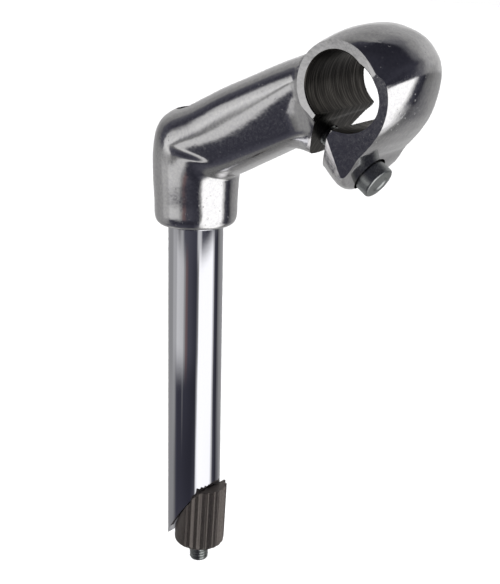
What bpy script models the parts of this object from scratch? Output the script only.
"""A bicycle quill stem: forged arm and clamp, steel quill, expander wedge, two screws.

Frame: the origin is on the quill's axis at the collar's lower rim, +Z runs up the quill,
the arm rises towards +X, and the handlebar's bore runs along Y. Every length is in metres.
"""
import math

import bmesh
import bpy
from mathutils import Matrix, Vector

MM = 0.001
GAP = 0.3 * MM                      # play between pieces that touch

# ---- driving dimensions -------------------------------------------------------------
QUILL_R = 11.1 * MM                 # 22.2 mm quill
QUILL_WALL = 2.2 * MM
SOCKET_TOP = 24.0 * MM              # how far the quill goes up into the collar
CUT_MID_Z = -126.9 * MM             # height of the slanted cut on the quill's axis
CUT_SLOPE = 1.410                   # rise of the cut for each unit along +X
QUILL_TIP = -139.2 * MM             # the sharp low point of the cut is blunted here

BORE_R = 12.7 * MM                  # 25.4 mm handlebar
BORE_X, BORE_Z = 77.4 * MM, 65.1 * MM
CLAMP_HALF = 19.0 * MM              # the clamp is 38 mm wide
SPRUNG_X, SPRUNG_Z = 4.2 * MM, -2.9 * MM   # how far the open jaw stands forward of the bore

SCREW_SLOPE = math.radians(33.4)    # the clamp screw points this far below +X
SCREW_DROP = 25.5 * MM              # from the bore's axis to the screw's axis
SLOT_BACK, SLOT_FRONT = -0.8 * MM, 7.5 * MM    # slot walls, along the screw from the bore
SEAT = 16.4 * MM                    # the screw's seat, along the screw from the bore
SLOT_MID_DROP, SLOT_DEPTH = 25.0 * MM, 30.0 * MM    # the slot's middle below the bore; its height
THREAD_DEPTH = 10.0 * MM            # the screw's thread ends this far behind its foot
FRONT_EAR = 5.0 * MM                # the screw's clearance hole starts here, along the screw
CLAMP_SHANK = 25.0 * MM             # length of the clamp screw under its head
EAR_START = 14.7 * MM               # the slanting facets start this far below the bore

M8_R = 4.0 * MM
SHANK_PLAY, WASHER_PLAY, THROAT_PLAY = 0.5 * MM, 0.4 * MM, 0.7 * MM   # added to a hole's radius
TIP_CHAMFER, HEAD_CHAMFER = 1.2 * MM, 0.6 * MM
HEAD_R, HEAD_H = 6.5 * MM, 8.0 * MM
HEX_ACROSS, HEX_DEPTH = 6.0 * MM, 4.2 * MM
WASHER_R, WASHER_H = 7.0 * MM, 1.4 * MM
RECESS_R, RECESS_FLOOR = 7.9 * MM, 34.0 * MM   # recess over the expander screw
EXPANDER_TIP = -149.9 * MM
LEAN_SHIFT = 3.1 * MM               # the long screw's tip stands this far towards +X

WEDGE_R = 10.6 * MM
WEDGE_SHIFT = 3.8 * MM              # the wedge has slid this far along the cut
WEDGE_TOP, WEDGE_BOTTOM = -113.9 * MM, -141.4 * MM
WEDGE_ROUND, WEDGE_FOOT = 2.0 * MM, 0.84   # height of the lower rim's chamfer; scale of the foot
WEDGE_CANT = math.radians(3.0)     # the wedge stands askew, its top towards +X
RIBS, RIB_DEPTH = 11, 0.9 * MM
RIB_STEPS, RIB_SHARPNESS = 8, 0.6   # points across a rib; below 1 the groove is flat-bottomed
CUTTER = 80.0 * MM                  # a tool block bigger than whatever it trims
OVER = 2.0 * MM                     # how far a tool runs out of the piece

# Sweep of the collar and arm: inner point x, z; outer point x, z; half width; squareness.
# Each row is one cross-section, seen from the side, from the collar's rim to the head.
SPINE = (
    (12.8, 0.0, -12.8, 0.0, 12.8, 2.0),
    (15.3, 0.9, -15.3, 0.9, 15.3, 2.0),
    (16.5, 3.6, -16.5, 3.6, 16.5, 2.0),
    (16.7, 10.0, -16.7, 10.0, 16.7, 2.0),
    (17.2, 18.5, -17.2, 20.0, 17.2, 2.0),
    (17.9, 21.2, -17.1, 30.8, 17.1, 2.05),
    (19.6, 22.3, -15.0, 40.0, 16.6, 2.15),
    (22.6, 23.7, -9.2, 45.3, 15.9, 2.3),
    (27.2, 26.2, 3.9, 50.5, 15.0, 2.5),
    (33.2, 29.4, 17.0, 57.0, 14.3, 2.7),
    (43.0, 34.6, 30.0, 62.8, 14.0, 2.8),
    (56.0, 41.7, 43.6, 68.9, 14.0, 2.8),
    (67.0, 47.9, 55.5, 73.6, 14.0, 2.8),
)
SPINE_SIDES, SPINE_STEPS = 32, 2

# The head, around the bore: angle from +X in degrees, radius on the flat sides, radius
# on the middle plane. The skin bulges between the two.
HEAD = (
    (-125, 19.5, 34.0), (-110, 20.0, 34.9), (-95, 31.3, 38.6), (-91, 32.2, 39.6),
    (-87, 33.0, 35.7), (-83, 31.4, 32.6), (-72, 25.9, 26.9), (-61, 23.9, 25.0),
    (-48, 22.4, 23.9), (-35, 21.6, 23.6), (-18, 20.6, 23.9), (0, 19.5, 25.3),
    (10, 18.9, 26.5), (21, 17.0, 27.5), (40, 16.3, 26.0), (60, 16.2, 23.0),
    (90, 16.2, 20.2), (112, 16.2, 18.6), (137, 16.2, 18.0), (180, 16.2, 18.0),
    (203, 16.2, 20.0), (214, 16.4, 27.0), (223, 16.9, 36.6), (230, 18.2, 35.8), (235, 19.5, 34.0),
)
HEAD_SIDES, HEAD_LAYERS = 72, 10
BULGE_POWER = 2.6
JAW_EDGE_HALF = 16.0 * MM           # half width of the jaw's lower part
JAW_NARROW, JAW_FULL = -35, 21      # the jaw widens between these angles around the bore
HEAD_START = -125                   # the first angle in HEAD
JAW_NORMAL = Vector((0.176, -0.974, -0.137))   # outward, of the jaw's side towards -Y
JAW_POINT = Vector((93.2, -19.0, 71.3)) * MM
TAPER_NORMAL = Vector((-0.484, -0.813, -0.323))  # outward, of the ears' facet towards -Y
TAPER_POINT = Vector((74.9, -18.8, 46.2)) * MM

SCREW_DIR = Vector((math.cos(SCREW_SLOPE), 0.0, -math.sin(SCREW_SLOPE)))
SCREW_UP = Vector((math.sin(SCREW_SLOPE), 0.0, math.cos(SCREW_SLOPE)))
BORE = Vector((BORE_X, 0.0, BORE_Z))
SCREW_FOOT = BORE - SCREW_UP * SCREW_DROP       # the screw's axis, straight below the bore

WASHER_TOP_Z = RECESS_FLOOR + GAP + WASHER_H
LEAN = math.atan2(LEAN_SHIFT, WASHER_TOP_Z - EXPANDER_TIP)


# ---- scene and object helpers -------------------------------------------------------
def clear_scene():
    for old in list(bpy.data.objects):
        bpy.data.objects.remove(old, do_unlink=True)


def material(name, colour, roughness, metallic):
    mat = bpy.data.materials.new(name)
    mat.use_nodes = True
    shader = mat.node_tree.nodes["Principled BSDF"]
    shader.inputs["Base Color"].default_value = (*colour, 1.0)
    shader.inputs["Roughness"].default_value = roughness
    shader.inputs["Metallic"].default_value = metallic
    mat.diffuse_color = (*colour, 1.0)
    return mat


def make_object(bm, name, mat=None, origin=Vector()):
    """Turn a bmesh in world coordinates into an object whose origin is where asked."""
    bmesh.ops.translate(bm, vec=-origin, verts=bm.verts)
    bmesh.ops.recalc_face_normals(bm, faces=bm.faces)
    mesh = bpy.data.meshes.new(name)
    bm.to_mesh(mesh)
    bm.free()
    mesh.shade_smooth()
    mesh.set_sharp_from_angle(angle=math.radians(35))
    obj = bpy.data.objects.new(name, mesh)
    obj.location = origin
    bpy.context.scene.collection.objects.link(obj)
    if mat:
        mesh.materials.append(mat)
    return obj


def hide_as_tool(obj):
    obj.hide_render = True
    obj.display_type = "WIRE"


def boolean(obj, tool, operation="DIFFERENCE"):
    hide_as_tool(tool)
    mod = obj.modifiers.new(tool.name, "BOOLEAN")
    mod.operation = operation
    mod.solver = "EXACT"
    mod.object = tool


# ---- shape helpers ------------------------------------------------------------------
def along(direction, start):
    """A matrix whose Z axis is the direction and whose origin is the start."""
    turn = direction.to_track_quat("Z", "Y").to_matrix().to_4x4()
    return Matrix.Translation(start) @ turn


def add_cylinder(bm, start, direction, length, radius, radius_end=None, sides=48):
    place = along(direction, start + direction * (length / 2))
    bmesh.ops.create_cone(
        bm, cap_ends=True, segments=sides, radius1=radius,
        radius2=radius if radius_end is None else radius_end, depth=length, matrix=place)


def cylinder_tool(name, start, direction, length, radius, sides=48):
    bm = bmesh.new()
    add_cylinder(bm, start, direction, length, radius, sides=sides)
    return make_object(bm, name)


def join_rings(bm, rings):
    """Skin neighbouring rings and cap the two ends."""
    for low, high in zip(rings, rings[1:]):
        edges = {e for v in low + high for e in v.link_edges}
        edges = [e for e in edges if {*e.verts} <= {*low} or {*e.verts} <= {*high}]
        bmesh.ops.bridge_loops(bm, edges=edges)
    bm.faces.new(rings[0])
    bm.faces.new(rings[-1])


def solid_of_turning(name, profile, start, direction, mat=None, closed=False, sides=48,
                     origin=Vector()):
    """A solid turned from (radius, height) points; a closed profile makes a tube."""
    bm = bmesh.new()
    points = [bm.verts.new((radius, 0, height)) for radius, height in profile]
    for here, there in zip(points, points[1:]):
        bm.edges.new((here, there))
    if closed:
        bm.edges.new((points[-1], points[0]))
    bmesh.ops.spin(bm, geom=bm.verts[:] + bm.edges[:], axis=(0, 0, 1), steps=sides,
                   angle=math.tau, use_merge=True)
    bmesh.ops.holes_fill(bm, edges=[e for e in bm.edges if e.is_boundary], sides=sides)
    bmesh.ops.transform(bm, matrix=along(direction, start), verts=bm.verts)
    return make_object(bm, name, mat, origin)


def slice_solid(bm, point, normal):
    """Cut away what lies on the normal's side of a plane, and close the cut."""
    geom = bm.verts[:] + bm.edges[:] + bm.faces[:]
    cut = bmesh.ops.bisect_plane(bm, geom=geom, plane_co=point, plane_no=normal,
                                 clear_outer=True)
    rim = [e for e in cut["geom_cut"] if isinstance(e, bmesh.types.BMEdge)]
    bmesh.ops.edgenet_fill(bm, edges=rim)


def spline(rows, steps):
    """Rows of numbers, with steps - 1 smooth in-between rows for each pair."""
    out = []
    for i in range(len(rows) - 1):
        before, here = rows[max(i - 1, 0)], rows[i]
        there, after = rows[i + 1], rows[min(i + 2, len(rows) - 1)]
        for k in range(steps):
            t = k / steps
            out.append(tuple(
                0.5 * (2 * b + (c - a) * t + (2 * a - 5 * b + 4 * c - d) * t * t
                       + (3 * b - a - 3 * c + d) * t ** 3)
                for a, b, c, d in zip(before, here, there, after)))
    return out + [tuple(rows[-1])]


def superellipse(angle, power):
    c, s = math.cos(angle), math.sin(angle)
    scale = (abs(c) ** power + abs(s) ** power) ** (-1 / power)
    return c * scale, s * scale


# ---- stem body ----------------------------------------------------------------------
def sweep_collar_and_arm():
    bm = bmesh.new()
    rings = []
    for in_x, in_z, out_x, out_z, half_width, power in spline(SPINE, SPINE_STEPS):
        inner, outer = Vector((in_x, 0, in_z)) * MM, Vector((out_x, 0, out_z)) * MM
        centre, half = (inner + outer) / 2, (inner - outer) / 2
        ring = bmesh.ops.create_circle(bm, segments=SPINE_SIDES, radius=1.0)["verts"]
        for vert in ring:
            across, side = superellipse(math.atan2(vert.co.y, vert.co.x), power)
            vert.co = centre + half * across + Vector((0, side * half_width * MM, 0))
        rings.append(ring)
    join_rings(bm, rings)
    return bm


def head_radii(angle):
    """Radius on the flat sides and on the middle plane, at an angle around the bore."""
    for before, after in zip(HEAD, HEAD[1:]):
        if before[0] <= angle <= after[0]:
            t = (angle - before[0]) / (after[0] - before[0])
            return [MM * (before[i] + (after[i] - before[i]) * t) for i in (1, 2)]


def jaw_half_width(angle):
    """The jaw's sides close in below the middle of the nose."""
    t = (angle - JAW_NARROW) / (JAW_FULL - JAW_NARROW)
    t = min(max(t, 0), 1)
    return JAW_EDGE_HALF + (CLAMP_HALF - JAW_EDGE_HALF) * t * t * (3 - 2 * t)


def loft_head():
    bm = bmesh.new()
    rings = []
    for layer in range(HEAD_LAYERS + 1):
        y = CLAMP_HALF * math.sin(math.pi * (layer / HEAD_LAYERS - 0.5))
        ring = bmesh.ops.create_circle(bm, segments=HEAD_SIDES, radius=1.0)["verts"]
        for vert in ring:
            angle = math.degrees(math.atan2(vert.co.y, vert.co.x))
            if angle < HEAD_START:
                angle += 360
            edge, middle = head_radii(angle)
            share = abs(y) / jaw_half_width(angle)
            radius = middle - (middle - edge) * share ** BULGE_POWER
            turn = math.radians(angle)
            vert.co = BORE + Vector((radius * math.cos(turn), y, radius * math.sin(turn)))
        rings.append(ring)
    join_rings(bm, rings)
    bmesh.ops.recalc_face_normals(bm, faces=bm.faces)
    for side in (1, -1):
        flip = Vector((1, side, 1))
        slice_solid(bm, JAW_POINT * flip, JAW_NORMAL * flip)
    return bm


def ear_taper_tool(name, side):
    """A block that trims one side of both ears to a slanting facet."""
    bm = bmesh.new()
    bmesh.ops.create_cube(bm, size=CUTTER, matrix=Matrix.Translation(SCREW_FOOT))
    flip = Vector((1, side, 1))
    slice_solid(bm, TAPER_POINT * flip, -TAPER_NORMAL * flip)
    slice_solid(bm, BORE - SCREW_UP * EAR_START, SCREW_UP)
    slice_solid(bm, Vector((0, -OVER * side, 0)), Vector((0, side, 0)))
    return make_object(bm, name)


def build_body(mat):
    body = make_object(sweep_collar_and_arm(), "stem_body", mat)
    head = make_object(loft_head(), "head_tool")
    boolean(head, ear_taper_tool("taper_tool_right", 1))
    boolean(head, ear_taper_tool("taper_tool_left", -1))
    boolean(body, head, "UNION")

    across = Vector((0, 1, 0))
    wide = CLAMP_HALF + OVER
    sprung = BORE + Vector((SPRUNG_X, 0, SPRUNG_Z))
    boolean(body, cylinder_tool("bore_tool", BORE - across * wide, across, 2 * wide, BORE_R))
    boolean(body, cylinder_tool("jaw_tool", sprung - across * wide, across, 2 * wide, BORE_R))

    bm = bmesh.new()
    slot_mid = BORE + SCREW_DIR * (SLOT_BACK + SLOT_FRONT) / 2 - SCREW_UP * SLOT_MID_DROP
    place = Matrix.Translation(slot_mid) @ Matrix.Rotation(SCREW_SLOPE, 4, "Y")
    size = Matrix.Diagonal((SLOT_FRONT - SLOT_BACK, 2 * wide, SLOT_DEPTH, 1))
    bmesh.ops.create_cube(bm, size=1.0, matrix=place @ size)
    boolean(body, make_object(bm, "slot_tool"))

    thread_end = SCREW_FOOT - SCREW_DIR * THREAD_DEPTH
    boolean(body, cylinder_tool("thread_tool", thread_end, SCREW_DIR, THREAD_DEPTH + OVER,
                                M8_R + GAP))
    front = SCREW_FOOT + SCREW_DIR * FRONT_EAR
    boolean(body, cylinder_tool("shank_tool", front, SCREW_DIR, SEAT - FRONT_EAR + OVER,
                                M8_R + SHANK_PLAY))
    seat = SCREW_FOOT + SCREW_DIR * SEAT
    boolean(body, cylinder_tool("seat_tool", seat, SCREW_DIR, CLAMP_HALF, WASHER_R + WASHER_PLAY))

    up = Vector((0, 0, 1))
    low = Vector((0, 0, -OVER))
    boolean(body, cylinder_tool("socket_tool", low, up, SOCKET_TOP + OVER, QUILL_R + GAP))
    throat = Vector((0, 0, SOCKET_TOP - OVER))
    throat_length = RECESS_FLOOR - SOCKET_TOP + 2 * OVER
    boolean(body, cylinder_tool("throat_tool", throat, up, throat_length, M8_R + THROAT_PLAY))
    floor = Vector((0, 0, RECESS_FLOOR))
    boolean(body, cylinder_tool("recess_tool", floor, up, CUTTER / 2, RECESS_R))
    return body


# ---- quill and expander -------------------------------------------------------------
def cut_plane(offset):
    """A point and the upward normal of the quill's slanted cut, moved down by offset."""
    normal = Vector((-CUT_SLOPE, 0, 1)).normalized()
    return Vector((0, 0, CUT_MID_Z)) - normal * offset, normal


def build_quill(mat):
    inner = QUILL_R - QUILL_WALL
    bottom = CUT_MID_Z - 2 * QUILL_R
    top = SOCKET_TOP - GAP
    profile = [(QUILL_R, bottom), (QUILL_R, top), (inner, top), (inner, bottom)]
    quill = solid_of_turning("quill_tube", profile, Vector(), Vector((0, 0, 1)), mat, closed=True)
    point, normal = cut_plane(0)
    bm = bmesh.new()
    bmesh.ops.create_cube(bm, size=CUTTER, matrix=Matrix.Translation((0, 0, CUT_MID_Z)))
    slice_solid(bm, point, normal)
    boolean(quill, make_object(bm, "cut_tool"))
    bm = bmesh.new()
    blunt = Matrix.Translation((-QUILL_R, 0, QUILL_TIP - QUILL_R))
    bmesh.ops.create_cube(bm, size=2 * QUILL_R, matrix=blunt)
    boolean(quill, make_object(bm, "blunt_tool"))
    return quill


def lean_direction():
    return Vector((-math.sin(LEAN), 0, math.cos(LEAN)))


def lean_point(z):
    """The long screw's axis at a height."""
    return Vector((math.tan(LEAN) * (WASHER_TOP_Z - z), 0, z))


def build_wedge(mat):
    bm = bmesh.new()
    steps = RIB_STEPS * RIBS
    pitch = math.pi / RIBS
    ring = bmesh.ops.create_circle(bm, segments=2 * steps, radius=1.0)["verts"]
    for vert in ring:
        angle = math.atan2(vert.co.y, vert.co.x)
        radius = WEDGE_R
        if abs(angle) < math.pi / 2:
            groove = 0.5 - 0.5 * math.cos(2 * math.pi * (angle + math.pi / 2) / pitch)
            radius -= RIB_DEPTH * groove ** RIB_SHARPNESS
        vert.co = Vector((radius * math.cos(angle), radius * math.sin(angle), 0))
    face = bm.faces.new(ring)
    bmesh.ops.translate(bm, vec=(WEDGE_SHIFT, 0, WEDGE_BOTTOM + WEDGE_ROUND), verts=bm.verts)
    body = bmesh.ops.extrude_face_region(bm, geom=[face])["geom"]
    top = [v for v in body if isinstance(v, bmesh.types.BMVert)]
    bmesh.ops.translate(bm, vec=(0, 0, WEDGE_TOP - WEDGE_BOTTOM - WEDGE_ROUND), verts=top)
    low = [v for v in bm.verts if v not in top]
    base = next(f for f in bm.faces if {*f.verts} == {*low})
    foot = bmesh.ops.extrude_face_region(bm, geom=[base])["geom"]
    foot = [v for v in foot if isinstance(v, bmesh.types.BMVert)]
    centre = Matrix.Translation((-WEDGE_SHIFT, 0, 0))
    bmesh.ops.scale(bm, vec=(WEDGE_FOOT, WEDGE_FOOT, 1), space=centre, verts=foot)
    bmesh.ops.translate(bm, vec=(0, 0, -WEDGE_ROUND), verts=foot)
    bmesh.ops.delete(bm, geom=[f for f in bm.faces if {*f.verts} == {*low}], context="FACES_ONLY")
    bmesh.ops.recalc_face_normals(bm, faces=bm.faces)
    middle = Vector((WEDGE_SHIFT, 0, (WEDGE_TOP + WEDGE_BOTTOM) / 2))
    bmesh.ops.rotate(bm, cent=middle, matrix=Matrix.Rotation(WEDGE_CANT, 3, "Y"), verts=bm.verts)
    point, normal = cut_plane(GAP)
    slice_solid(bm, point, normal)
    wedge = make_object(bm, "expander_wedge", mat, origin=lean_point(WEDGE_BOTTOM))
    start = lean_point(WEDGE_BOTTOM - OVER)
    boolean(wedge, cylinder_tool("wedge_thread_tool", start, lean_direction(), CUTTER, M8_R + GAP))
    return wedge


def cap_screw(name, head_base, direction, length, mat):
    """A socket-head screw; direction points from the shank to the head."""
    profile = [
        (M8_R - TIP_CHAMFER, -length), (M8_R, -length + TIP_CHAMFER), (M8_R, 0.0), (HEAD_R, 0.0),
        (HEAD_R, HEAD_H - HEAD_CHAMFER), (HEAD_R - HEAD_CHAMFER, HEAD_H),
    ]
    screw = solid_of_turning(name, profile, head_base, direction, mat, sides=32, origin=head_base)
    hexagon = HEX_ACROSS / math.sqrt(3)
    floor = head_base + direction * (HEAD_H - HEX_DEPTH)
    boolean(screw, cylinder_tool(name + "_hex_tool", floor, direction, HEAD_H, hexagon, sides=6))
    return screw


def washer(name, base, direction, mat):
    hole = M8_R + WASHER_PLAY
    profile = [(WASHER_R, 0.0), (WASHER_R, WASHER_H), (hole, WASHER_H), (hole, 0.0)]
    return solid_of_turning(name, profile, base, direction, mat, closed=True, sides=32, origin=base)


# ---- the whole part -----------------------------------------------------------------
def main():
    clear_scene()
    polished = material("polished_aluminium", (0.62, 0.62, 0.64), 0.2, 1.0)
    chrome = material("chromed_steel", (0.70, 0.70, 0.74), 0.08, 1.0)
    black = material("black_oxide", (0.035, 0.032, 0.032), 0.55, 0.6)
    zinc = material("grey_zinc", (0.30, 0.31, 0.31), 0.42, 1.0)

    build_body(polished)
    build_quill(chrome)
    build_wedge(black)

    up = lean_direction()
    washer_base = lean_point(RECESS_FLOOR + GAP)
    washer("expander_washer", washer_base, up, zinc)
    head_base = lean_point(WASHER_TOP_Z + GAP)
    length = (head_base.z - EXPANDER_TIP) / math.cos(LEAN)
    cap_screw("expander_bolt", head_base, up, length, zinc)

    seat = SCREW_FOOT + SCREW_DIR * (SEAT + GAP)
    washer("clamp_washer", seat, SCREW_DIR, zinc)
    head_base = seat + SCREW_DIR * (WASHER_H + GAP)
    cap_screw("clamp_bolt", head_base, SCREW_DIR, CLAMP_SHANK, zinc)


main()
